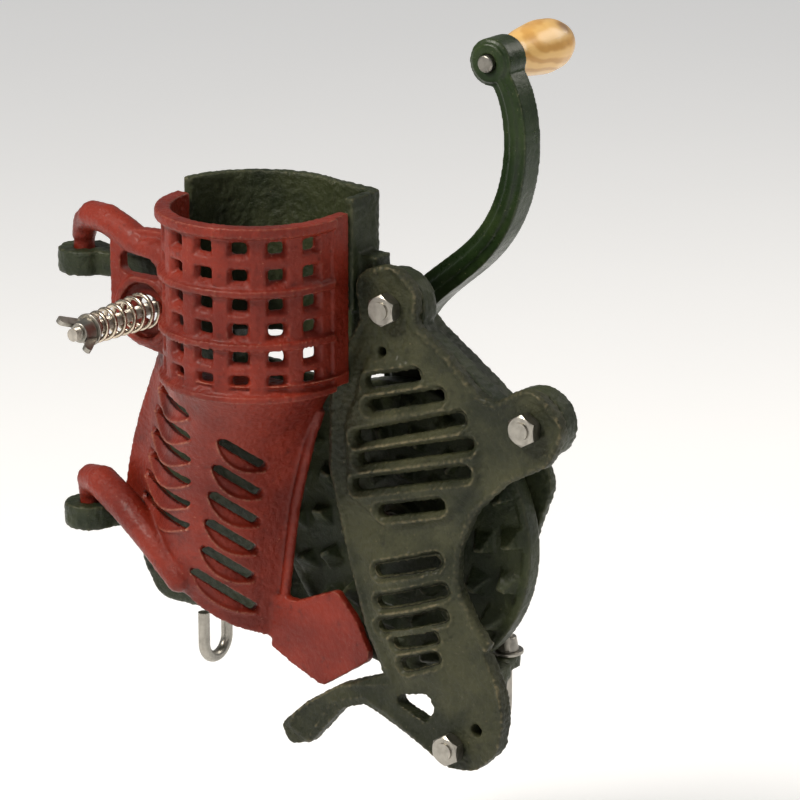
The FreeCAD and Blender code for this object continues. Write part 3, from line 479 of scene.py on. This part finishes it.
def cover_relief(places, normals):
    """Raised pads, a hollow waist between them, a bellied lower half, a beaded edge and sunk slots."""
    flat = np.stack([places[:, 0] - DISC.x, places[:, 2] - DISC.z], axis=1) / MM
    front = smoothstep(0.2, 0.8, -normals[:, 1])
    lift = PAD_HEIGHT * smoothstep(-1.5, 2.5, polygon_distance(flat, UPPER_PAD)) * front
    belly = smoothstep(-10, 22, polygon_distance(flat, LOWER_PAD))
    lift += BELLY_HEIGHT * belly
    waist = np.exp(-((flat[:, 1] - WAIST_Z) / WAIST_SPAN) ** 2) * smoothstep(0, 12, flat[:, 0] + 16)
    lift -= WAIST_DEPTH * waist * front
    inset = polygon_distance(flat, COVER_EDGE) - EDGE_INSET
    lift += EDGE_HEIGHT * np.exp(-(inset / EDGE_WIDTH) ** 2) * front
    for x1, z1, x2, z2 in COVER_SLOTS:
        start, run = np.array((x1, z1)), np.array((x2 - x1, z2 - z1))
        t = np.clip(((flat - start) @ run) / (run @ run), 0, 1)
        away = np.linalg.norm(flat - (start + t[:, None] * run), axis=1)
        lift -= CHANNEL_DEPTH * (1 - smoothstep(CHANNEL_FLOOR, CHANNEL_TOP, away)) * front
        lift += BEAD_HEIGHT * np.exp(-((away - BEAD_AWAY) / BEAD_WIDTH) ** 2) * front
    places = places.copy()
    places[:, 1] -= lift * MM
    return places


# ---------------------------------------------------------------- pieces

HOUSING = ("main_housing", "throat_back", "cover_rim", "cover_lug", "upper_hinge_arm", "lower_hinge_arm")


def make_castings():
    """The cast pieces, with the six housing nodes melted into one casting."""
    edge = bead([at(*p) for p in SHELL_EDGE], 2.4 * MM)
    casting(["pressure_plate"], 0.8, sand=0.26, sand_size=2, extras=[edge], relief=plate_relief)
    casting(["guard_cover"], 0.75, sand=0.5, sand_size=1.8, relief=cover_relief)
    casting(HOUSING, 1.05, sand=0.5, sand_size=2.4)
    casting(["shelling_disc"], 0.85, sand=0.2, sand_size=2.2, soften=2)
    casting(["crank_arm"], 0.7, sand=0.1, sand_size=2.4, soften=4)


def make_spring():
    """Conical spring with closed end coils, built as two lengths of wire."""
    low, high = (Vector(v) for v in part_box("pressure_spring"))
    centre = (low + high) / 2
    wire = 1 * MM
    tip, foot = 6 * MM, (high.x - low.x) / 2 - 2.2 * wire
    length = high.y - low.y - 2 * wire
    turns, steps, split = 7.1, 284, 100
    points = []
    for k in range(steps + 1):
        u = k / steps
        rise = smoothstep(0.02, 0.98, np.array(u)) * 0.35 + u * 0.65
        angle = 2 * math.pi * turns * u
        radius = tip + (foot - tip) * u
        points.append(Vector((centre.x + radius * math.cos(angle), low.y + wire + length * float(rise),
                              centre.z + radius * math.sin(angle))))
    waist = points[split].y
    lengths = [
        ("spring_front", points[:split + 1], "spring_follower", "frame", low.y + 2 * wire, waist - wire),
        ("spring_rear", points[split:], "frame", "pressure_plate", waist + wire, high.y - 3 * wire),
    ]
    for name, path, first, second, start, end in lengths:
        obj = new_object(name, bead(path, wire))
        obj.data.shade_smooth()
        paint(obj, "spring_steel")
        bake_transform(obj)
        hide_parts("pressure_spring")


def make_nodes():
    """Materials of the CAD nodes that stay as they are."""
    for name, obj in frame["nodes"].items():
        if obj.hide_render:
            continue
        look = MATERIALS.get(name, MATERIALS[SLOT_OF[name]])
        if obj.data.materials:
            for slot in obj.material_slots:
                slot.material = look
        else:
            obj.data.materials.append(look)


# ---------------------------------------------------------------- stage

FLOOR_HALF = 4
CAMERA_AZIMUTH = math.radians(35)
CAMERA_ELEVATION = math.radians(17)
CAMERA_DISTANCE = 1.8

def make_stage():
    """Pale floor below the lowest reach of the crank, and a white studio around it."""
    floor_z = 2 * SHAFT.z - cad_bounds[1][2] - 5 * MM
    mesh = bpy.data.meshes.new("floor")
    reach = FLOOR_HALF
    mesh.from_pydata([(-reach, -reach, floor_z), (reach, -reach, floor_z), (reach, reach, floor_z),
                      (-reach, reach, floor_z)], [], [(0, 1, 2, 3)])
    floor = new_object("floor", mesh)
    m = Nodes("pale_floor")
    m.bsdf.inputs["Emission Color"].default_value = (1, 1, 1, 1)
    m.bsdf.inputs["Emission Strength"].default_value = 0.3
    floor.data.materials.append(m.finish(m.mix(m.noise(3), (0.88, 0.88, 0.88), (0.92, 0.92, 0.92)), 0.9))
    world = bpy.data.worlds.new("studio")
    bpy.context.scene.world = world
    world.use_nodes = True
    background = world.node_tree.nodes["Background"]
    background.inputs[0].default_value = (1, 1, 1, 1)
    path = world.node_tree.nodes.new("ShaderNodeLightPath")
    strength = world.node_tree.nodes.new("ShaderNodeMapRange")
    strength.inputs["To Min"].default_value = 0.24
    strength.inputs["To Max"].default_value = 1
    world.node_tree.links.new(path.outputs["Is Camera Ray"], strength.inputs["Value"])
    world.node_tree.links.new(strength.outputs[0], background.inputs[1])


WARM_WHITE = (1, 0.95, 0.87)


def lamp(name, place, power, size):
    light = bpy.data.lights.new(name, "AREA")
    light.energy = power
    light.color = WARM_WHITE
    light.size = size
    obj = new_object(name, light)
    obj.location = place
    aim = middle("main_housing") - Vector(place)
    obj.rotation_euler = aim.to_track_quat("-Z", "Y").to_euler()


def make_lights():
    lamp("key", (-0.5, -1.0, 1.3), 29, 0.4)
    lamp("fill", (1.3, -1.1, 0.6), 4, 0.9)
    lamp("rim", (0.6, 1.2, 1.1), 9, 0.8)


def make_camera():
    target = at(-1.3, 0, 61.3)
    level = math.cos(CAMERA_ELEVATION)
    back = Vector((math.sin(CAMERA_AZIMUTH) * level, -math.cos(CAMERA_AZIMUTH) * level,
                   math.sin(CAMERA_ELEVATION)))
    camera = bpy.data.cameras.new("camera")
    camera.lens = 178
    camera.sensor_width = 36
    obj = new_object("camera", camera)
    obj.location = target + back * CAMERA_DISTANCE
    obj.rotation_euler = (-back).to_track_quat("-Z", "Y").to_euler()
    bpy.context.scene.camera = obj


make_camera()
make_castings()
make_spring()
make_nodes()
make_stage()
make_lights()

bpy.context.scene.view_settings.view_transform = "Standard"
